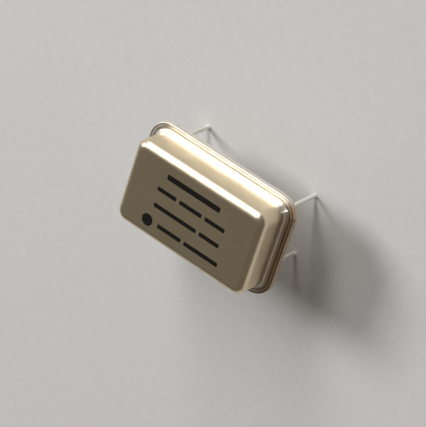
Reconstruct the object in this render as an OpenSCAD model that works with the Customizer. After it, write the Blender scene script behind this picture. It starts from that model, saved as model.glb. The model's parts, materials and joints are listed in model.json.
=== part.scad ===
// Metal-can crystal clock oscillator on the lead grid of a 14-pin dual-in-line package.
// Millimetres. The origin is the centre of the seating plane, which is the underside of the base.
// +Z points up through the lid, the leads point down, and +X runs along the can towards pins 7 and 8.

/* [Lid] */
// Length of the lid's body, measured over its walls
lid_l = 17.9; // [17.6:0.1:22]
// Width of the lid's body, measured over its walls
lid_w = 10.4; // [10:0.1:14]
// Height of the lid's top above the seating plane
can_h = 4.8; // [4:0.1:8]
// Thickness of the drawn sheet
sheet_t = 0.3; // [0.2:0.05:0.4]
// Outside radius of the lid's four upright corners
corner_r = 1.35; // [1.3:0.05:2]
// Outside radius of the rounded top edge
top_edge_r = 0.95; // [0.5:0.05:1]
// Outside radius of the bend between the wall and the flange
bend_r = 0.4; // [0.2:0.05:0.6]

/* [Flange] */
// How far the lid's and the base's flanges stand out from the lid's wall
flange_w = 1.05; // [0.95:0.05:1.8]
// Thickness of the base's flange
base_flange_t = 0.45; // [0.3:0.05:0.7]
// Rounding of the outer edge of each flange
edge_r = 0.1; // [0.05:0.01:0.12]
// Width of the weld track, which the welding electrode presses into the lid's flange
track_w = 0.4; // [0.2:0.05:0.5]
// Depth of the weld track
track_d = 0.03; // [0.01:0.01:0.06]
// Width of the raised rim that is left outside the weld track
rim_w = 0.13; // [0.12:0.01:0.25]

/* [Base] */
// Height of the base's raised platform above the seating plane
platform_h = 1; // [0.8:0.05:1.4]
// Clearance all round between the platform and the inside of the lid
platform_gap = 0.12; // [0.05:0.01:0.2]
// Diameter of each glass seal
seal_d = 1.4; // [1:0.1:1.5]
// Diameter of the brazed joint that earths pin 7 to the base
braze_d = 0.9; // [0.7:0.1:1.2]

/* [Leads] */
// Lead spacing along the can
pitch_l = 15.24; // [12.7:1.27:15.24]
// Lead spacing across the can
pitch_w = 7.62; // [5.08:1.27:7.62]
// Diameter of the bare lead wire
wire_d = 0.44; // [0.36:0.02:0.54]
// Thickness of the tin coat on the stretch of lead outside the can
coat_t = 0.02; // [0.01:0.01:0.05]
// Length of each lead below the seating plane
lead_l = 7; // [3:0.5:12]
// Length of bare wire between the seating plane and the tin coat
coat_gap = 0.25; // [0.1:0.05:0.5]
// Length of each lead above the substrate
lead_top = 0.5; // [0.4:0.05:0.8]
// Size of the bevel round each cut lead end
tip_bevel = 0.05; // [0.02:0.01:0.1]

/* [Substrate] */
// Thickness of the ceramic substrate
substrate_t = 0.5; // [0.38:0.01:0.64]
// Clearance all round between the substrate and the inside of the lid
substrate_gap = 0.4; // [0.3:0.05:0.42]
// Clearance round each lead in its hole through the substrate
hole_gap = 0.1; // [0.05:0.01:0.15]
// Thickness of printed conductors and of the crystal's electrodes
film_t = 0.02; // [0.01:0.01:0.04]
// Width of the printed tracks
line_w = 0.3; // [0.2:0.05:0.35]
// Distance from the substrate's long edges to the printed rails
rail_edge = 0.2; // [0.1:0.05:0.3]
// Diameter of the printed ring round each lead
ring_d = 1.1; // [1:0.05:1.2]
// Height of each solder joint
solder_h = 0.35; // [0.2:0.05:0.4]

/* [Crystal] */
// Diameter of the quartz blank
blank_d = 8; // [6:0.1:8.2]
// Thickness of the quartz blank
blank_t = 0.42; // [0.2:0.01:0.6]
// Height of the quartz blank above the printed conductors
blank_lift = 1.1; // [0.9:0.05:1.3]
// Diameter of the round part of each electrode
electrode_d = 4.6; // [3:0.1:5.5]
// Width of the tab that leads each electrode to the blank's rim
tab_w = 0.8; // [0.5:0.1:1.2]
// Thickness of the clip strip
clip_t = 0.12; // [0.1:0.01:0.2]
// Length of each clip's foot
clip_foot = 0.9; // [0.6:0.05:1]
// Width of the clip leg on each side of its slot
clip_leg = 0.35; // [0.25:0.05:0.5]
// Height of the clip's bar above its slot
clip_bar = 0.25; // [0.15:0.05:0.4]
// How far the blank's rim enters each clip's slot
clip_bite = 0.08; // [0.04:0.01:0.1]
// Clearance round the blank in each clip's slot
slot_gap = 0.05; // [0.02:0.01:0.08]
// Radius of each adhesive dab
dab_r = 0.5; // [0.3:0.05:0.7]
// Height of each adhesive dab
dab_h = 0.22; // [0.1:0.02:0.25]
// Distance from the right clip's foot to the end of the substrate
end_gap = 0.83; // [0.4:0.01:1]

/* [Circuit] */
// Length of the chip
die_l = 1.8; // [1.4:0.1:2]
// Width of the chip
die_w = 1.5; // [1.2:0.1:1.8]
// Thickness of the chip
die_t = 0.35; // [0.25:0.05:0.5]
// Distance from the left clip's foot to the chip, which leaves room for the bond pads
die_gap = 1.88; // [1.7:0.02:2]
// Diameter of a bond wire
bond_d = 0.05; // [0.03:0.01:0.08]
// Distance that a bond wire spans
bond_span = 1; // [0.8:0.05:1.1]
// Distance from the chip's edge to a bond on it
bond_inset = 0.15; // [0.1:0.01:0.2]
// Side of each square bond pad
bond_pad = 0.4; // [0.3:0.05:0.5]
// Distance of the paired bonds on one side of the chip from its middle
bond_off = 0.45; // [0.4:0.01:0.5]
// Length of the bypass capacitor's ceramic
bypass_l = 1.92; // [1.5:0.01:2.2]
// Width of the bypass capacitor's ceramic
bypass_w = 1.17; // [0.7:0.01:1.3]
// Height of the bypass capacitor's ceramic
bypass_h = 0.55; // [0.3:0.01:0.8]
// Length of each load capacitor's ceramic
load_l = 1.52; // [1:0.01:1.8]
// Width of each load capacitor's ceramic
load_w = 0.77; // [0.4:0.01:1]
// Height of each load capacitor's ceramic
load_h = 0.42; // [0.2:0.01:0.6]
// Thickness of a capacitor's plated ends
plate_t = 0.04; // [0.02:0.01:0.06]
// Length of the band that each plated end wraps over its capacitor
band_l = 0.3; // [0.2:0.05:0.35]
// Distance from the chip to the bypass capacitor
bypass_gap = 0.475; // [0.4:0.025:0.6]
// Distance from a clip to the load capacitor below it
load_gap = 0.5; // [0.4:0.05:0.6]

/* [Hidden] */
$fn = 64;
cut = 0.1; // how far a cutting shape runs past the face that it cuts

PINS = [1, 7, 8, 14];
SEALED_PINS = [1, 8, 14];

// Can
foot_z = base_flange_t + sheet_t; // top of the lid's flange
flange_r = corner_r + flange_w; // outside corner radius of both flanges
inner_l = lid_l - 2 * sheet_t;
inner_w = lid_w - 2 * sheet_t;
inner_r = corner_r - sheet_t;

// Leads
coated_d = wire_d + 2 * coat_t;
hole_d = wire_d + 2 * hole_gap;
function pin_at(pin) = [
    (pin == 7 || pin == 8 ? 1 : -1) * pitch_l / 2,
    (pin == 8 || pin == 14 ? 1 : -1) * pitch_w / 2
];

// Substrate
sub_l = inner_l - 2 * substrate_gap;
sub_w = inner_w - 2 * substrate_gap;
sub_z = platform_h + substrate_t; // top of the substrate
film_z = sub_z + film_t; // top of the printed conductors
rail_y = sub_w / 2 - rail_edge - line_w / 2;

// Crystal
clip_reach = clip_foot - clip_bite; // how far a clip's foot runs out past the blank's rim
slot_w = 2 * sqrt(blank_d * clip_bite) + 2 * slot_gap;
clip_w = slot_w + 2 * clip_leg;
blank_x = sub_l / 2 - end_gap - clip_reach - blank_d / 2;
blank_z = film_z + blank_lift;
rim_left = blank_x - blank_d / 2;
rim_right = blank_x + blank_d / 2;

// Circuit. A capacitor's size is its length, width and height.
bypass_size = [bypass_l, bypass_w, bypass_h];
load_size = [load_l, load_w, load_h];
die_x = rim_left - clip_reach - die_gap - die_l / 2;
pad_x = die_x + die_l / 2 - bond_inset + bond_span; // bond pads on the crystal's side of the chip
pad_y = die_w / 2 - bond_inset + bond_span; // bond pads above and below the chip
bypass_x = die_x - die_l / 2 - bypass_gap - bypass_w / 2 - plate_t;
load_y = -(clip_w / 2 + load_gap + load_l / 2);
load_left_x = rim_left - clip_bite;
load_right_x = rim_right + clip_bite;

// A flat plate with four rounded corners, standing on z = 0.
module rounded_plate(l, w, r, h) {
    linear_extrude(h) {
        square([l - 2 * r, w], center = true);
        square([l, w - 2 * r], center = true);
        for (x = [-1, 1], y = [-1, 1])
            translate([x * (l / 2 - r), y * (w / 2 - r)]) circle(r);
    }
}

// Sweeps a section round the can. The section's x is measured out from the centre of the
// corner radius, and its y is the height. The middle is left open.
module sweep_round_can() {
    straight_l = lid_l - 2 * corner_r;
    straight_w = lid_w - 2 * corner_r;
    for (quarter = [[1, 1, 0], [-1, 1, 90], [-1, -1, 180], [1, -1, 270]])
        translate([quarter[0] * straight_l / 2, quarter[1] * straight_w / 2, 0])
            rotate(quarter[2]) rotate_extrude(angle = 90) children();
    for (side = [[0, straight_l, straight_w], [90, straight_w, straight_l],
                 [180, straight_l, straight_w], [270, straight_w, straight_l]])
        rotate(side[0]) translate([side[1] / 2, 0, 0]) rotate([90, 0, 0])
            linear_extrude(side[2], center = true) children();
}

// Fills the middle that sweep_round_can leaves open, from z up by t.
module middle_panel(z, t) {
    translate([corner_r - lid_l / 2, corner_r - lid_w / 2, z])
        cube([lid_l - 2 * corner_r, lid_w - 2 * corner_r, t]);
}

// A quarter of a flat ring about centre, on the side that toward points to.
module quarter_ring(centre, r_in, r_out, toward) {
    translate(centre) intersection() {
        difference() {
            circle(r_out);
            circle(r_in);
        }
        translate([min(toward[0], 0) * r_out, min(toward[1], 0) * r_out]) square(r_out);
    }
}

// A flange strip that starts at x from, between z low and z high, ending in one rounded edge.
module flange_strip(from, low, high, rounded_low) {
    translate([from, low]) square([flange_r - edge_r - from, high - low]);
    translate([flange_r - edge_r, rounded_low ? low + edge_r : low]) square([edge_r, high - low - edge_r]);
    translate([flange_r - edge_r, rounded_low ? low + edge_r : high - edge_r]) circle(edge_r);
}

module lid_section() {
    wall_low = foot_z + bend_r;
    wall_high = can_h - top_edge_r;
    difference() {
        union() {
            translate([0, can_h - sheet_t]) square([corner_r - top_edge_r, sheet_t]);
            quarter_ring([corner_r - top_edge_r, wall_high], top_edge_r - sheet_t, top_edge_r, [1, 1]);
            translate([corner_r - sheet_t, wall_low]) square([sheet_t, wall_high - wall_low]);
            quarter_ring([corner_r + bend_r, wall_low], bend_r, bend_r + sheet_t, [-1, -1]);
            flange_strip(corner_r + bend_r, base_flange_t, foot_z, false);
        }
        translate([flange_r - rim_w - track_w, foot_z - track_d]) square([track_w, track_d + cut]);
    }
}

module lid() {
    color("tan") {
        sweep_round_can() lid_section();
        middle_panel(can_h - sheet_t, sheet_t);
    }
}

module base() {
    color("burlywood") difference() {
        union() {
            sweep_round_can() flange_strip(0, 0, base_flange_t, true);
            middle_panel(0, base_flange_t);
            rounded_plate(inner_l - 2 * platform_gap, inner_w - 2 * platform_gap,
                          inner_r - platform_gap, platform_h);
        }
        for (pin = SEALED_PINS) bore_at(pin, seal_d);
        bore_at(7, braze_d);
    }
}

module bore_at(pin, d) {
    translate([pin_at(pin)[0], pin_at(pin)[1], -cut]) cylinder(d = d, h = platform_h + 2 * cut);
}

// A ring that fills a bore of the base round one lead.
module lead_ring(pin, d) {
    translate(pin_at(pin)) difference() {
        cylinder(d = d, h = platform_h);
        translate([0, 0, -cut]) cylinder(d = wire_d, h = platform_h + 2 * cut);
    }
}

module glass_seal(pin) {
    color("darkslategray") lead_ring(pin, seal_d);
}

module braze_pin_7() {
    color("peru") lead_ring(7, braze_d);
}

// A bare wire through the base and the substrate, with its tin coat and bevelled tip below.
module lead(pin) {
    wire_top = sub_z + lead_top;
    coat_top = -coat_gap;
    color("silver") translate(pin_at(pin)) {
        translate([0, 0, tip_bevel - lead_l]) cylinder(d = coated_d, h = coat_top + lead_l - tip_bevel);
        translate([0, 0, -lead_l]) cylinder(d1 = coated_d - 2 * tip_bevel, d2 = coated_d, h = tip_bevel);
        translate([0, 0, coat_top]) cylinder(d = wire_d, h = wire_top - coat_top);
    }
}

module substrate() {
    color("whitesmoke") difference() {
        translate([0, 0, platform_h])
            rounded_plate(sub_l, sub_w, inner_r - substrate_gap, substrate_t);
        for (pin = PINS)
            translate([pin_at(pin)[0], pin_at(pin)[1], platform_h - cut])
                cylinder(d = hole_d, h = substrate_t + 2 * cut);
    }
}

// A printed track along x or y from one point to another.
module track(a, b) {
    translate([min(a[0], b[0]) - line_w / 2, min(a[1], b[1]) - line_w / 2])
        square([abs(a[0] - b[0]) + line_w, abs(a[1] - b[1]) + line_w]);
}

// A printed track through a list of points.
module route(points) {
    for (i = [1 : len(points) - 1]) track(points[i - 1], points[i]);
}

module pad(centre, l, w) {
    translate(centre) square([l, w], center = true);
}

// The two pads under a capacitor that lies along y.
module capacitor_pads(centre, size) {
    for (end = [-1, 1])
        pad([centre[0], centre[1] + end * (size[0] - band_l) / 2], size[1] + line_w, band_l + line_w);
}

// The ring round a lead, with its short track out to the rail on that side.
module lead_pad(pin, joins_rail) {
    translate(pin_at(pin)) circle(d = ring_d);
    side = pin_at(pin)[1] > 0 ? 1 : -1;
    if (joins_rail) track(pin_at(pin), [pin_at(pin)[0], side * rail_y]);
}

module conductor_plan() {
    supply = pin_at(14);
    output = pin_at(8);
    earth = pin_at(7);
    // Supply: pin 14 to the bypass capacitor and the chip
    lead_pad(14, false);
    route([supply, [bypass_x, supply[1]], [bypass_x, pad_y], [die_x - bond_off, pad_y]]);
    pad([die_x - bond_off, pad_y], bond_pad, bond_pad);
    // Output: pin 8 along its rail to the chip
    lead_pad(8, true);
    route([[output[0], rail_y], [die_x + bond_off, rail_y], [die_x + bond_off, pad_y]]);
    pad([die_x + bond_off, pad_y], bond_pad, bond_pad);
    // Earth: pin 7 along its rail to the chip and the three capacitors
    lead_pad(7, true);
    route([[earth[0], -rail_y], [die_x, -rail_y], [die_x, -pad_y], [bypass_x, -pad_y]]);
    pad([die_x, -pad_y], bond_pad, bond_pad);
    track([die_x, -pad_y], [die_x, 0]);
    pad([die_x, 0], die_l + bond_inset, die_w + bond_inset);
    for (x = [load_left_x, load_right_x]) track([x, load_y - load_l / 2], [x, -rail_y]);
    // Crystal, near side: chip to the left clip
    pad([pad_x, -bond_off], bond_pad, bond_pad);
    track([pad_x, -bond_off], [rim_left, -bond_off]);
    // Crystal, far side: chip over the left clip to the right clip
    pad([pad_x, bond_off], bond_pad, bond_pad);
    over_y = clip_w / 2 + 4 * line_w;
    foot_x = rim_right + clip_reach / 2;
    route([[pad_x, bond_off], [pad_x, over_y], [foot_x, over_y], [foot_x, 0]]);
    // Pads under the clips' feet and the capacitors
    for (foot = [rim_left - clip_reach / 2, foot_x]) pad([foot, 0], clip_foot + line_w, clip_w + line_w);
    for (x = [load_left_x, load_right_x]) {
        track([x, 0], [x, load_y + load_l / 2]);
        capacitor_pads([x, load_y], load_size);
    }
    capacitor_pads([bypass_x, 0], bypass_size);
    for (side = [-1, 1]) track([bypass_x, side * bypass_l / 2], [bypass_x, side * pad_y]);
    // Pin 1 is not connected
    lead_pad(1, false);
}

module printed_conductors() {
    color("goldenrod") translate([0, 0, sub_z]) linear_extrude(film_t) difference() {
        conductor_plan();
        for (pin = PINS) translate(pin_at(pin)) circle(d = hole_d);
    }
}

module solder_joint(pin) {
    color("lightgray") translate([pin_at(pin)[0], pin_at(pin)[1], film_z]) difference() {
        cylinder(d1 = ring_d - film_t, d2 = hole_d, h = solder_h);
        translate([0, 0, -cut]) cylinder(d = wire_d, h = solder_h + 2 * cut);
    }
}

module quartz_blank() {
    color("lavender") translate([blank_x, 0, blank_z]) cylinder(d = blank_d, h = blank_t);
}

// One electrode's outline, with its tab towards side (-1 left, 1 right).
module electrode_plan(side) {
    circle(d = electrode_d);
    intersection() {
        translate([side < 0 ? -blank_d / 2 : 0, -tab_w / 2]) square([blank_d / 2, tab_w]);
        circle(d = blank_d);
    }
}

module electrode(side, z) {
    color("gold") translate([blank_x, 0, z]) linear_extrude(film_t) electrode_plan(side);
}

// One clip, at its own side of the blank: a foot, and an upright with a slot for the rim.
module clip(side) {
    slot_z = blank_lift - slot_gap;
    slot_h = blank_t + 2 * slot_gap;
    color("darkgray") translate([side < 0 ? rim_left : rim_right, 0, film_z]) mirror([side < 0 ? 1 : 0, 0, 0])
        translate([-clip_bite, -clip_w / 2, 0]) difference() {
            union() {
                cube([clip_foot, clip_w, clip_t]);
                cube([clip_t, clip_w, slot_z + slot_h + clip_bar]);
            }
            translate([-cut, clip_leg, slot_z]) cube([clip_t + 2 * cut, slot_w, slot_h]);
        }
}

// A dab of adhesive on one face of the blank, against the clip and round the electrode's tab.
module adhesive(side, on_top) {
    rim_x = side < 0 ? rim_left : rim_right;
    dab_z = on_top ? blank_z + blank_t : blank_z - dab_h;
    tab_z = on_top ? blank_z + blank_t : blank_z - film_t;
    color("lightslategray") difference() {
        translate([rim_x - side * clip_bite, 0, dab_z]) intersection() {
            cylinder(r = dab_r, h = dab_h);
            translate([side < 0 ? 0 : -dab_r, -dab_r, 0]) cube([dab_r, 2 * dab_r, dab_h]);
        }
        translate([blank_x, 0, tab_z]) linear_extrude(film_t) electrode_plan(side);
    }
}

module oscillator_chip() {
    color("dimgray") translate([die_x - die_l / 2, -die_w / 2, film_z]) cube([die_l, die_w, die_t]);
}

// A wire that arches from a bond on the chip to a pad, in the direction turn.
module bond_wire(bond, turn) {
    translate([bond[0], bond[1], film_z + die_t]) rotate(turn) translate([bond_span / 2, 0, 0]) {
        rotate([90, 0, 0]) rotate_extrude(angle = 180) translate([bond_span / 2, 0]) circle(d = bond_d);
        translate([bond_span / 2, 0, -die_t]) cylinder(d = bond_d, h = die_t);
    }
}

module bond_wires() {
    edge_x = die_l / 2 - bond_inset;
    edge_y = die_w / 2 - bond_inset;
    color("gold") {
        for (y = [-bond_off, bond_off]) bond_wire([die_x + edge_x, y], 0);
        for (x = [-bond_off, bond_off]) bond_wire([die_x + x, edge_y], 90);
        bond_wire([die_x, -edge_y], 270);
    }
}

// The ceramic of a capacitor that lies along y, held off the substrate by its plated ends.
module capacitor_body(centre, size) {
    translate([centre[0] - size[1] / 2, centre[1] - size[0] / 2, film_z + plate_t])
        cube([size[1], size[0], size[2]]);
}

module capacitor_ends(centre, size) {
    end_l = band_l + plate_t;
    for (end = [-1, 1]) difference() {
        translate([centre[0], centre[1] + end * (size[0] / 2 - band_l + end_l / 2), film_z])
            linear_extrude(size[2] + 2 * plate_t) pad([0, 0], size[1] + 2 * plate_t, end_l);
        capacitor_body(centre, size);
    }
}

module bypass_capacitor() {
    color("sienna") capacitor_body([bypass_x, 0], bypass_size);
}

module bypass_capacitor_ends() {
    color("lightgray") capacitor_ends([bypass_x, 0], bypass_size);
}

module load_capacitor(x) {
    color("rosybrown") capacitor_body([x, load_y], load_size);
}

module load_capacitor_ends(x) {
    color("lightgray") capacitor_ends([x, load_y], load_size);
}

lid();
base();
glass_seal(1);  // glass_seal_pin_1
glass_seal(8);  // glass_seal_pin_8
glass_seal(14);  // glass_seal_pin_14
braze_pin_7();
lead(1);  // lead_pin_1
lead(7);  // lead_pin_7
lead(8);  // lead_pin_8
lead(14);  // lead_pin_14
substrate();
printed_conductors();
solder_joint(1);  // solder_pin_1
solder_joint(7);  // solder_pin_7
solder_joint(8);  // solder_pin_8
solder_joint(14);  // solder_pin_14
quartz_blank();
electrode(-1, blank_z + blank_t);  // electrode_top
electrode(1, blank_z - film_t);  // electrode_bottom
clip(-1);  // crystal_clip_left
clip(1);  // crystal_clip_right
adhesive(-1, true);  // clip_adhesive_left
adhesive(1, false);  // clip_adhesive_right
oscillator_chip();
bond_wires();
bypass_capacitor();
bypass_capacitor_ends();
load_capacitor(load_left_x);  // load_capacitor_left
load_capacitor_ends(load_left_x);  // load_capacitor_left_ends
load_capacitor(load_right_x);  // load_capacitor_right
load_capacitor_ends(load_right_x);  // load_capacitor_right_ends
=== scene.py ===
"""Looks for a metal-can crystal clock oscillator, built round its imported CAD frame.

The frame's origin is the centre of the seating plane. +Z points up through the lid, +X along
the can towards pins 7 and 8, and +Y across it towards pins 8 and 14.
"""

import json
import math
import random

import bmesh
import bpy
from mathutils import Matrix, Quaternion, Vector


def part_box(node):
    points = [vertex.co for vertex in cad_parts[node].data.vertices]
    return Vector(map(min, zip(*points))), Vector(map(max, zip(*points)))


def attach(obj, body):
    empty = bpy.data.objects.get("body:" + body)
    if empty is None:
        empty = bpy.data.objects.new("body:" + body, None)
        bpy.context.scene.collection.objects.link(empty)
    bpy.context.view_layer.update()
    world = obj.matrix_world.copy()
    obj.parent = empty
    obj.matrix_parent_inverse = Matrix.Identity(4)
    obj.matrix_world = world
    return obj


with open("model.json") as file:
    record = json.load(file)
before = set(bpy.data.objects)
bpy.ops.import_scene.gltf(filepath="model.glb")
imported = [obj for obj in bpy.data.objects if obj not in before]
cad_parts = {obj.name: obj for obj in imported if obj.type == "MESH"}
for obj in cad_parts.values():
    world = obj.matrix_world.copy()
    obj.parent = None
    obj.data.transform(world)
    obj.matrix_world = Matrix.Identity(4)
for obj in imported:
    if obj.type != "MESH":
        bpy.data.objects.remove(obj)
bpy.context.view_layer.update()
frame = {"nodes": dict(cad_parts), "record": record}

MM = 0.001

# Sizes of the can that its boxes don't give, in millimetres
FLANGE_CORNER = 2.4  # corner radius of both flanges
SHEET = 0.3  # thickness of the lid's sheet
RIM_WIDTH = 0.13  # raised rim outside the weld track
TRACK_WIDTH = 0.4  # weld track pressed in the lid's flange
TOP_EDGE = 0.95  # radius of the lid's top edge
BARE_WIRE = 0.3  # a lead's length below the seating plane that has no tin

# Ink on the lid, in millimetres: the dot beside pin 1, and bars where such a can has its print
INK_HEIGHT = 0.012
INK_SEED = 14
DOT_AT, DOT_RADIUS, DOT_POINTS = (-4.73, -3.1), 0.72, 72
BAR_ROWS = (  # middle height, bar width, left end, then bar lengths
    (2.95, 0.66, -3.9, (7.3,)),
    (1.05, 0.5, -4.65, (2.6, 3.1, 2.75)),
    (-0.95, 0.5, -4.5, (5.9, 2.75)),
    (-3.05, 0.5, -3.3, (3.3, 4.7)),
)
BAR_GAP = 0.45
BAR_CORNER, BAR_CORNER_POINTS = 0.12, 5
BAR_STEP = 0.08  # between points along a bar's sides
DOT_CREEP, BAR_CREEP = 0.02, 0.015  # how far the ink strays from its outline

# Weld spatter on the flange's edge: degrees round the corner by pin 8, height and radius, in millimetres
BEADS = ((13, 0.56, 0.11), (9, 0.66, 0.07), (-3, 0.62, 0.07), (-6, 0.55, 0.045))
BEAD_SEED = 7
BEAD_LEAN = 0.35  # how much a bead swells to one side, in radii
BEAD_RIPPLE, BEAD_RIPPLE_TURN = 0.06, 9  # depth of its ripples in radii, and their radians in a radius

# Camera, where the photograph's camera stood by the upright part, with lengths in millimetres
VIEW_AZIMUTH = 140.3
VIEW_ELEVATION = 50.1
VIEW_ROLL = 114.2  # the photographed can lies on its side
VIEW_DISTANCE = 257
VIEW_AIM = (0.3, -0.7, 0.3)
LENS = 200

# Lamps: azimuth and elevation in degrees, distance, width and height in metres, then radiance
LAMPS = {
    "key": (248, 40, 1, 0.3, 0.3, 24),
    "strip": (203, 30, 1, 0.26, 0.85, 9.2),
}

# The room, whose heights are the sines of elevations
BACKDROP = (0.60, 0.597, 0.59)  # below and round the horizon
CEILING = (0.131, 0.117, 0.102)  # overhead
HORIZON_TOP, CEILING_FROM = 0.045, 0.16

# The floor, in millimetres
FLOOR_HALF = 1500  # half its side
FLOOR_FADE = (60, 200)  # distances over which it turns to the backdrop's tone
FLOOR_GAP = 0.01  # its depth below the leads' ends
FLOOR_CONTACT = 0.2  # rays shorter than this pass it
FLOOR_TONES = ((0.63, 0.625, 0.617), (0.61, 0.605, 0.597))
FLOOR_ROUGHNESS = (0.85, 0.95)

# Plated metal: colours, and ranges of roughness
NICKEL, DULL_NICKEL = (0.84, 0.73, 0.525), (0.755, 0.65, 0.46)
BURNISHED_AND_HIGHLIGHT_NICKEL = (0.89, 0.85, 0.79)  # the flange and lower wall: paler where the welder's wheel rubbed them, and whitened further as a painted highlight
BASE_NICKEL, DULL_BASE_NICKEL = (0.76, 0.68, 0.51), (0.66, 0.58, 0.42)
CUT_STEEL_AND_HIGHLIGHT = (0.95, 0.92, 0.86)  # sheared edges of the flanges, paler as cut steel and brightened further as a painted highlight
WELD_TINT = (0.50, 0.34, 0.24)  # heat tint on the weld track
END_BROWN = (0.62, 0.47, 0.33)  # brown towards the end of the can by pins 7 and 8
END_BROWN_FROM, END_BROWN_FULL = 1.5, 0.5  # how far in from that side it starts and is full, in millimetres
SEAM = (0.13, 0.09, 0.05)  # narrow dark joints
TIN, DULL_TIN, WIRE = (0.965, 0.95, 0.90), (0.85, 0.83, 0.77), (0.48, 0.43, 0.36)
LID_ROUGHNESS, BASE_ROUGHNESS, LEAD_ROUGHNESS = (0.285, 0.335), (0.285, 0.36), (0.58, 0.68)

# Shader settings that a whole surface shares
METAL = {"Metallic": 1.0}
SILVER_PASTE = {"Metallic": 0.6}
SILICON = {"Metallic": 0.5}
QUARTZ = {"Transmission Weight": 0.9, "IOR": 1.54}
INK = {"Specular IOR Level": 0.15}

# Finishes by slot: two colours, grain size, roughness range and relief depth, with lengths in millimetres
GRAINED = {
    "seal_glass": ((0.03, 0.045, 0.05), (0.07, 0.10, 0.10), 0.25, (0.06, 0.14), 0.004),
    "braze_metal": ((0.72, 0.47, 0.28), (0.52, 0.34, 0.22), 0.2, (0.3, 0.45), 0.01, METAL),
    "alumina": ((0.90, 0.89, 0.85), (0.82, 0.81, 0.77), 0.08, (0.5, 0.65), 0.003),
    "printed_metal": ((0.80, 0.62, 0.30), (0.68, 0.52, 0.26), 0.06, (0.3, 0.45), 0.002, METAL),
    "solder": ((0.68, 0.69, 0.71), (0.55, 0.56, 0.58), 0.3, (0.14, 0.26), 0.01, METAL),
    "quartz": ((0.90, 0.93, 0.96), (0.86, 0.90, 0.94), 0.5, (0.02, 0.08), 0.0005, QUARTZ),
    "electrode_gold": ((0.93, 0.72, 0.33), (0.85, 0.64, 0.28), 0.4, (0.14, 0.22), 0.0005, METAL),
    "clip_metal": ((0.62, 0.61, 0.57), (0.50, 0.49, 0.46), 0.15, (0.25, 0.38), 0.002, METAL),
    "silver_adhesive": ((0.55, 0.55, 0.54), (0.38, 0.38, 0.37), 0.05, (0.45, 0.7), 0.006, SILVER_PASTE),
    "chip_silicon": ((0.16, 0.17, 0.21), (0.24, 0.23, 0.27), 0.08, (0.12, 0.3), 0.001, SILICON),
    "bond_gold": ((0.94, 0.74, 0.34), (0.84, 0.64, 0.28), 0.1, (0.18, 0.25), 0.0005, METAL),
    "capacitor_ceramic": ((0.42, 0.28, 0.18), (0.30, 0.20, 0.13), 0.06, (0.5, 0.65), 0.003),
    "capacitor_tin": ((0.74, 0.74, 0.72), (0.60, 0.60, 0.58), 0.08, (0.28, 0.42), 0.003, METAL),
    "marking_ink": ((0.003, 0.0022, 0.002), (0.012, 0.0095, 0.007), 0.12, (0.62, 0.8), 0.002, INK),
    "weld_scale": ((0.10, 0.07, 0.05), (0.22, 0.16, 0.11), 0.05, (0.3, 0.5), 0.004, METAL),
}

lid_low, lid_high = (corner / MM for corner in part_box("lid"))
flange_top = lid_low.z + SHEET
leads_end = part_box("lead_pin_1")[0].z / MM
corner_centre = Vector((lid_high.x - FLANGE_CORNER, lid_high.y - FLANGE_CORNER, 0))  # by pin 8


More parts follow.
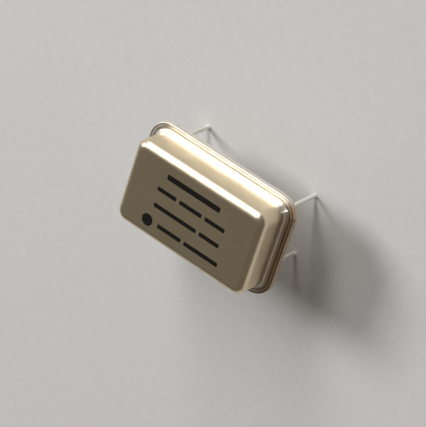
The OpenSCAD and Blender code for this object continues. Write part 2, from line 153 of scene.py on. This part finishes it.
class Look:
    """One procedural material. Its coordinates are millimetres of the row frame."""

    def __init__(self, name, settings=()):
        self.material = bpy.data.materials.new(name)
        self.material.use_nodes = True
        self.tree = self.material.node_tree
        self.shader = self.tree.nodes["Principled BSDF"]
        for socket, value in dict(settings).items():
            self.shader.inputs[socket].default_value = value
        self.place = self.vector("SCALE", self.add("ShaderNodeTexCoord").outputs["Object"], scale=1 / MM)

    def add(self, kind, **properties):
        node = self.tree.nodes.new(kind)
        for key, value in properties.items():
            setattr(node, key, value)
        return node

    def feed(self, socket, value):
        """Links value to socket if it is an output, and otherwise sets it."""
        if isinstance(value, bpy.types.NodeSocket):
            self.tree.links.new(value, socket)
        elif socket.type == "RGBA":
            socket.default_value = (*value, 1)
        else:
            socket.default_value = value

    def math(self, operation, a, b=0.0):
        node = self.add("ShaderNodeMath", operation=operation)
        self.feed(node.inputs[0], a)
        self.feed(node.inputs[1], b)
        return node.outputs[0]

    def plus(self, total, *others):
        for other in others:
            total = self.math("ADD", total, other)
        return total

    def minus(self, a, b):
        return self.math("SUBTRACT", a, b)

    def times(self, product, *others):
        for other in others:
            product = self.math("MULTIPLY", product, other)
        return product

    def vector(self, operation, a, b=None, scale=None):
        node = self.add("ShaderNodeVectorMath", operation=operation)
        self.feed(node.inputs[0], a)
        if b is not None:
            self.feed(node.inputs[1], b)
        if scale is not None:
            node.inputs["Scale"].default_value = scale
        return node.outputs["Value" if operation == "LENGTH" else "Vector"]

    def split(self, vector):
        node = self.add("ShaderNodeSeparateXYZ")
        self.feed(node.inputs[0], vector)
        return node.outputs

    def axis(self, letter):
        return self.split(self.place)[letter]

    def noise(self, size, detail=2.0, stretch=(1, 1, 1), place=None):
        """Noise from 0 to 1 whose features are about size millimetres, longer by stretch along each axis."""
        node = self.add("ShaderNodeTexNoise")
        squeezed = self.vector("DIVIDE", self.place if place is None else place, stretch)
        self.feed(node.inputs["Vector"], squeezed)
        node.inputs["Scale"].default_value = 1 / size
        node.inputs["Detail"].default_value = detail
        return node.outputs["Fac"]

    def spread(self, value, low, high, to_low=0.0, to_high=1.0):
        """Maps low..high smoothly to to_low..to_high, and holds it beyond them."""
        node = self.add("ShaderNodeMapRange", interpolation_type="SMOOTHSTEP")
        for socket, number in zip(("Value", "From Min", "From Max", "To Min", "To Max"),
                                  (value, low, high, to_low, to_high)):
            self.feed(node.inputs[socket], number)
        return node.outputs["Result"]

    def vary(self, noise, to_low=0.0, to_high=1.0):
        """Maps a noise to to_low..to_high. Most of it lies between 0.3 and 0.7."""
        return self.spread(noise, 0.3, 0.7, to_low, to_high)

    def fade(self, value, low, high, full=1.0):
        """Full where value is below low, and 0 where it is above high."""
        return self.spread(value, low, high, full, 0.0)

    def blend(self, a, b, factor):
        """Colour a where factor is 0 and b where it is 1."""
        node = self.add("ShaderNodeMix", data_type="RGBA")
        self.feed(node.inputs["Factor"], factor)
        for socket, colour in zip((s for s in node.inputs if s.type == "RGBA"), (a, b)):
            self.feed(socket, colour)
        return next(s for s in node.outputs if s.type == "RGBA")

    def blend_shaders(self, a, b, factor):
        node = self.add("ShaderNodeMixShader")
        for socket, value in zip(node.inputs, (factor, a, b)):
            self.feed(socket, value)
        return node.outputs[0]

    def past_straight(self):
        """How far a point lies past the centres of the flanges' corners, along X and along Y."""
        flat = self.vector("MULTIPLY", self.place, (1, 1, 0))
        past = self.vector("SUBTRACT", self.vector("ABSOLUTE", flat), corner_centre)
        return self.vector("MAXIMUM", past, (0, 0, 0))

    def rim_distance(self):
        """Distance from the flanges' outline, negative inside it."""
        return self.minus(self.vector("LENGTH", self.past_straight()), FLANGE_CORNER)

    def cornerness(self):
        """0 along the straight sides, 1 in the middle of each corner."""
        x, y, _ = self.split(self.past_straight())
        return self.spread(self.math("MINIMUM", x, y), 0.1, FLANGE_CORNER / 2)

    def wrinkles(self, size, drift=0.1):
        """Noise with features of size millimetres round each flange corner, which drifts along the can."""
        x, y, _ = self.split(self.past_straight())
        around = self.times(self.math("ARCTAN2", y, x), FLANGE_CORNER / size)
        slow_x, slow_y, _ = self.split(self.vector("SCALE", self.place, scale=drift))
        node = self.add("ShaderNodeCombineXYZ")
        for socket, value in zip(node.inputs, (around, slow_x, slow_y)):
            self.feed(socket, value)
        return self.noise(1, detail=1, place=node.outputs[0])

    def browned_towards_pin_7(self, metal):
        """A metal's colour, turned browner towards the end by pins 7 and 8."""
        end = lid_high.x
        return self.blend(metal, END_BROWN, self.spread(self.axis("X"), end - END_BROWN_FROM, end - END_BROWN_FULL))

    def rounded(self, radius):
        """Normals that turn round the edges over radius millimetres."""
        node = self.add("ShaderNodeBevel", samples=6)
        node.inputs["Radius"].default_value = radius * MM
        return node.outputs[0]

    def relief(self, height, depth, after=None):
        """Bump whose height of 1 stands depth millimetres proud."""
        node = self.add("ShaderNodeBump")
        node.inputs["Distance"].default_value = depth * MM
        self.feed(node.inputs["Height"], height)
        if after is not None:
            self.feed(node.inputs["Normal"], after)
        return node.outputs["Normal"]

    def finish(self, colour, roughness, normal):
        for socket, value in (("Base Color", colour), ("Roughness", roughness), ("Normal", normal)):
            self.feed(self.shader.inputs[socket], value)
        return self.material


def lid_nickel():
    """Clouded, grained nickel with drawn walls, and a flange heat-tinted along the weld's track; the flange
    and lower wall are paler, partly rubbed by the welder's wheel and partly a painted highlight, and browner
    towards pins 7 and 8.
    """
    look = Look("lid_nickel", METAL)
    cloud = look.noise(5, detail=3)
    grain = look.noise(0.22, detail=3)
    drawn = look.noise(0.12, stretch=(1, 1, 12))

    # Places on the lid, each 1 there and 0 elsewhere, by height, by height above the flange, and by
    # distance from the flange's outline, which is negative inwards
    height, rim = look.axis("Z"), look.rim_distance()
    up = look.minus(height, flange_top)
    flange = look.fade(up, 0.03, 0.3)
    upper_face = look.times(flange, look.fade(rim, -0.03, -0.01))
    sheared_edge_and_highlight = look.times(flange, look.spread(rim, -0.06, -0.02))
    bend = look.times(look.fade(up, 0.25, 0.95), look.fade(rim, -0.8, -0.62))
    wall = look.times(look.spread(up, 0.9, 1.6), look.fade(height, lid_high.z - TOP_EDGE, lid_high.z - 0.6))
    towards_pin_7 = look.times(look.cornerness(), look.spread(look.axis("X"), lid_low.x, lid_high.x))
    off_track = look.math("ABSOLUTE", look.plus(rim, RIM_WIDTH + TRACK_WIDTH / 2))
    off_track_edge = look.math("ABSOLUTE", look.minus(off_track, TRACK_WIDTH / 2))

    colour = look.blend(NICKEL, DULL_NICKEL, look.spread(cloud, 0.35, 0.75, to_high=0.6))
    colour = look.blend(colour, DULL_NICKEL, look.spread(grain, 0.4, 0.68, to_high=0.55))
    # Paler nickel on the flange and lower wall, partly from the welder's wheel and partly a painted
    # highlight. Its sheared edge is paler still, also partly a painted highlight, and all of it turns browner
    # towards pins 7 and 8.
    burnish_and_highlight = look.browned_towards_pin_7(look.blend(BURNISHED_AND_HIGHLIGHT_NICKEL, CUT_STEEL_AND_HIGHLIGHT, sheared_edge_and_highlight))
    colour = look.blend(colour, burnish_and_highlight, look.fade(up, 0.2, 1.55, full=0.85))

    # The weld leaves a patchy heat tint on its track, and a dark line at each side of it
    patches = look.spread(look.noise(1.6, detail=3), 0.4, 0.7, 0.04, 0.4)
    patches = look.plus(patches, look.times(towards_pin_7, 0.25))
    colour = look.blend(colour, WELD_TINT, look.times(look.fade(off_track, 0.15, 0.5), patches, upper_face))
    track_lines = look.fade(off_track_edge, 0.02, 0.075, full=0.95)
    colour = look.blend(colour, SEAM, look.times(track_lines, upper_face))

    # The two flanges meet in a dark line round the edge
    colour = look.blend(colour, SEAM, look.fade(height, lid_low.z + 0.01, lid_low.z + 0.05, full=0.8))

    # The lid's top is the smoothest
    texture = look.plus(look.times(cloud, 0.6), look.times(grain, 0.4))
    roughness = look.vary(texture, *LID_ROUGHNESS)
    for place, rougher in ((wall, 0.09), (flange, 0.14), (sheared_edge_and_highlight, 0.08)):
        roughness = look.plus(roughness, look.times(place, rougher))

    # The drawing die leaves ripples at the foot of the lid's corners
    ripples = look.times(look.minus(look.wrinkles(0.5), 0.5), towards_pin_7, bend)
    normal = look.rounded(0.05)
    for shape, depth in ((cloud, 0.04), (grain, 0.0016), (drawn, 0.0008), (ripples, 0.45)):
        normal = look.relief(shape, depth, normal)
    return look.finish(colour, roughness, normal)


def base_nickel():
    """Clouded nickel, brushed along the base, with a paler sheared edge that is partly a painted highlight.
    """
    look = Look("base_nickel", METAL)
    rim = look.rim_distance()
    cloud = look.noise(3, detail=3)
    brushed = look.noise(0.1, detail=3, stretch=(14, 1, 1))
    colour = look.blend(BASE_NICKEL, DULL_BASE_NICKEL, look.vary(cloud))
    # A paler band along the sheared edge, partly cut steel and partly a painted highlight, browner towards
    # pins 7 and 8.
    colour = look.blend(colour, look.browned_towards_pin_7(CUT_STEEL_AND_HIGHLIGHT), look.spread(rim, -0.3, -0.05, to_high=0.85))
    joint = look.spread(look.axis("Z"), lid_low.z - 0.04, lid_low.z - 0.01, to_high=0.8)
    colour = look.blend(colour, SEAM, joint)
    roughness = look.plus(look.vary(brushed, *BASE_ROUGHNESS), look.spread(rim, -0.12, -0.02, to_high=0.2))
    return look.finish(colour, roughness, look.relief(brushed, 0.0008, look.rounded(0.09)))


def tinned_lead():
    """Matt dipped tin, with bare wire next to the base."""
    look = Look("tinned_lead", METAL)
    dip = look.noise(0.9, stretch=(1, 1, 2.5))
    grain = look.noise(0.15)
    colour = look.blend(TIN, DULL_TIN, look.spread(dip, 0.35, 0.75))
    colour = look.blend(colour, WIRE, look.spread(look.axis("Z"), -BARE_WIRE, -BARE_WIRE + 0.1))
    normal = look.relief(dip, 0.012, look.relief(grain, 0.0005))
    return look.finish(colour, look.vary(grain, *LEAD_ROUGHNESS), normal)


def grained(name, colour, other, size, roughness, depth, settings=()):
    """A material whose colour, roughness and relief follow one noise."""
    look = Look(name, settings)
    mottle = look.noise(size, detail=4)
    return look.finish(look.blend(colour, other, look.vary(mottle)), look.vary(mottle, *roughness),
                       look.relief(mottle, depth))


def middle_of(outline):
    return sum(outline, Vector((0, 0))) / len(outline)


def circle(middle, radius, points):
    turns = (2 * math.pi * i / points for i in range(points))
    return [Vector(middle) + Vector((math.cos(turn), math.sin(turn))) * radius for turn in turns]


def bar(left, middle, length, width):
    """Outline of a bar with rounded corners, walked anticlockwise."""
    right = left + length - BAR_CORNER
    left += BAR_CORNER
    low = middle - width / 2 + BAR_CORNER
    high = middle + width / 2 - BAR_CORNER
    points = []
    for x, y, start in ((right, low, -90), (right, high, 0), (left, high, 90), (left, low, 180)):
        for i in range(BAR_CORNER_POINTS):
            turn = math.radians(start + 90 * i / (BAR_CORNER_POINTS - 1))
            points.append(Vector((x, y)) + Vector((math.cos(turn), math.sin(turn))) * BAR_CORNER)
    filled = []
    for a, b in zip(points, points[1:] + points[:1]):
        parts = max(1, round((b - a).length / BAR_STEP))
        filled += [a.lerp(b, i / parts) for i in range(parts)]
    return filled


def uneven(outline, chance, amount):
    """Moves an outline's points in and out a little, as ink creeps on metal."""
    middle = middle_of(outline)
    moves = [chance.uniform(-amount, amount) for _ in outline]
    smooth = [(moves[i - 2] + 2 * moves[i - 1] + moves[i]) / 4 for i in range(len(moves))]
    return [point + (point - middle).normalized() * move for point, move in zip(outline, smooth)]


def add_ink(mesh, outline):
    """Adds a closed slab of ink with that outline, half sunk in the lid, whose top edge is rounded off."""
    middle = middle_of(outline)
    low, high = lid_high.z - INK_HEIGHT, lid_high.z + INK_HEIGHT
    rings = []
    for z, inset in ((low, 0), (high - INK_HEIGHT / 3, 0), (high, INK_HEIGHT)):
        inner = (point + (middle - point).normalized() * inset for point in outline)
        rings.append([mesh.verts.new((*(point * MM), z * MM)) for point in inner])
    ends = [mesh.verts.new((*(middle * MM), z * MM)) for z in (low, high)]
    for i in range(len(outline)):
        j = (i + 1) % len(outline)
        for lower, upper in zip(rings, rings[1:]):
            mesh.faces.new((lower[i], lower[j], upper[j], upper[i])).smooth = True
        mesh.faces.new((rings[0][j], rings[0][i], ends[0]))
        mesh.faces.new((rings[-1][i], rings[-1][j], ends[1]))


def add_piece(name, mesh, material):
    """Turns a bmesh into a piece that rides on the part's body."""
    data = bpy.data.meshes.new(name)
    mesh.to_mesh(data)
    mesh.free()
    data.materials.append(material)
    piece = bpy.data.objects.new(name, data)
    bpy.context.scene.collection.objects.link(piece)
    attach(piece, "root")


def make_marking():
    chance = random.Random(INK_SEED)
    dot = bmesh.new()
    add_ink(dot, uneven(circle(DOT_AT, DOT_RADIUS, DOT_POINTS), chance, DOT_CREEP))
    add_piece("pin_1_dot", dot, looks["marking_ink"])
    bars = bmesh.new()
    for middle, width, left, lengths in BAR_ROWS:
        for length in lengths:
            add_ink(bars, uneven(bar(left, middle, length, width), chance, BAR_CREEP))
            left += length + BAR_GAP
    add_piece("marking_bars", bars, looks["marking_ink"])


def make_beads():
    """Dark beads that the weld threw on the flange's edge."""
    chance = random.Random(BEAD_SEED)
    beads = bmesh.new()
    for degrees, height, radius in BEADS:
        turn = math.radians(degrees)
        place = corner_centre + Vector((math.cos(turn), math.sin(turn), 0)) * FLANGE_CORNER
        place.z = height
        made = bmesh.ops.create_icosphere(beads, subdivisions=3, radius=radius)["verts"]
        lean = Vector([chance.uniform(-1, 1) for _ in range(3)]).normalized()
        for vert in made:
            side = vert.co.normalized().dot(lean)
            ripple = math.sin(BEAD_RIPPLE_TURN * vert.co.x / radius + degrees)
            vert.co = (place + vert.co * (1 + BEAD_LEAN * side + BEAD_RIPPLE * ripple)) * MM
    for face in beads.faces:
        face.smooth = True
    add_piece("weld_beads", beads, looks["weld_scale"])


def make_floor():
    """A pale card. Far from the part it shows the backdrop's tone, and from below it isn't seen."""
    half, z = FLOOR_HALF * MM, (leads_end - FLOOR_GAP) * MM
    mesh = bpy.data.meshes.new("floor")
    corners = [(-half, -half, z), (half, -half, z), (half, half, z), (-half, half, z)]
    mesh.from_pydata(corners, [], [(0, 1, 2, 3)])
    floor = bpy.data.objects.new("floor", mesh)
    bpy.context.scene.collection.objects.link(floor)

    card = Look("floor_card")
    mottle = card.noise(0.6, detail=4)
    card.finish(card.blend(*FLOOR_TONES, card.vary(mottle)), card.vary(mottle, *FLOOR_ROUGHNESS),
                card.relief(mottle, 0.01))
    light_path = card.add("ShaderNodeLightPath").outputs

    # Rays that look at it as a background, straight on or by a reflection, see the backdrop's tone far away
    far_tone = card.add("ShaderNodeEmission")
    card.feed(far_tone.inputs["Color"], BACKDROP)
    far = card.spread(card.vector("LENGTH", card.place), *FLOOR_FADE)
    seen = light_path["Is Camera Ray"]
    for kind in ("Is Glossy Ray", "Is Transmission Ray"):
        seen = card.math("MAXIMUM", seen, light_path[kind])
    surface = card.blend_shaders(card.shader.outputs[0], far_tone.outputs[0], card.times(far, seen))

    # Rays from the leads' ends, which stand on it, pass it as well, or the ends would look black from below
    below = card.add("ShaderNodeNewGeometry").outputs["Backfacing"]
    close = card.math("LESS_THAN", light_path["Ray Length"], FLOOR_CONTACT * MM)
    clear = card.add("ShaderNodeBsdfTransparent").outputs[0]
    surface = card.blend_shaders(surface, clear, card.math("MAXIMUM", below, close))
    card.feed(card.tree.nodes["Material Output"].inputs["Surface"], surface)
    mesh.materials.append(card.material)


def make_world():
    """A room that is pale at the horizon and dim overhead."""
    world = bpy.data.worlds.new("room")
    bpy.context.scene.world = world
    world.use_nodes = True
    tree = world.node_tree
    coords = tree.nodes.new("ShaderNodeTexCoord")
    split = tree.nodes.new("ShaderNodeSeparateXYZ")
    ramp = tree.nodes.new("ShaderNodeValToRGB")
    tree.links.new(coords.outputs["Generated"], split.inputs[0])
    tree.links.new(split.outputs["Z"], ramp.inputs["Fac"])
    tree.links.new(ramp.outputs["Color"], tree.nodes["Background"].inputs["Color"])
    elements = ramp.color_ramp.elements
    elements.remove(elements[-1])
    elements[0].color = (*BACKDROP, 1)
    for height, colour in ((HORIZON_TOP, BACKDROP), (CEILING_FROM, CEILING), (1.0, CEILING)):
        elements.new(height).color = (*colour, 1)


def direction(azimuth, elevation):
    a, e = math.radians(azimuth), math.radians(elevation)
    return Vector((math.sin(a) * math.cos(e), -math.cos(a) * math.cos(e), math.sin(e)))


def add_softbox(name, azimuth, elevation, distance, width, height, radiance):
    """A rectangular lamp that looks at the part from that direction."""
    lamp = bpy.data.lights.new(name, "AREA")
    lamp.shape = "RECTANGLE"
    lamp.size, lamp.size_y = width, height
    lamp.energy = radiance * math.pi * width * height
    holder = bpy.data.objects.new(name, lamp)
    bpy.context.scene.collection.objects.link(holder)
    away = direction(azimuth, elevation)
    holder.location = away * distance
    holder.rotation_mode = "QUATERNION"
    holder.rotation_quaternion = (-away).to_track_quat("-Z", "Y")
    holder.visible_camera = False


def make_camera():
    camera = bpy.data.objects.new("camera", bpy.data.cameras.new("camera"))
    bpy.context.scene.collection.objects.link(camera)
    bpy.context.scene.camera = camera
    camera.data.lens = LENS
    towards = direction(VIEW_AZIMUTH, VIEW_ELEVATION)
    camera.location = (Vector(VIEW_AIM) + towards * VIEW_DISTANCE) * MM
    level = (-towards).to_track_quat("-Z", "Y")
    camera.rotation_mode = "QUATERNION"
    camera.rotation_quaternion = level @ Quaternion((0, 0, 1), -math.radians(VIEW_ROLL))


looks = {"lid_nickel": lid_nickel(), "base_nickel": base_nickel(), "tinned_lead": tinned_lead()}
for name, finish in GRAINED.items():
    looks[name] = grained(name, *finish)
for part in frame["record"]["subparts"]:
    piece = frame["nodes"][part["node"]]
    piece.data.materials.clear()
    piece.data.materials.append(looks[part["material_slot"]])

make_marking()
make_beads()
make_floor()
make_world()
for name, settings in LAMPS.items():
    add_softbox(name, *settings)
make_camera()
bpy.context.scene.view_settings.view_transform = "Standard"
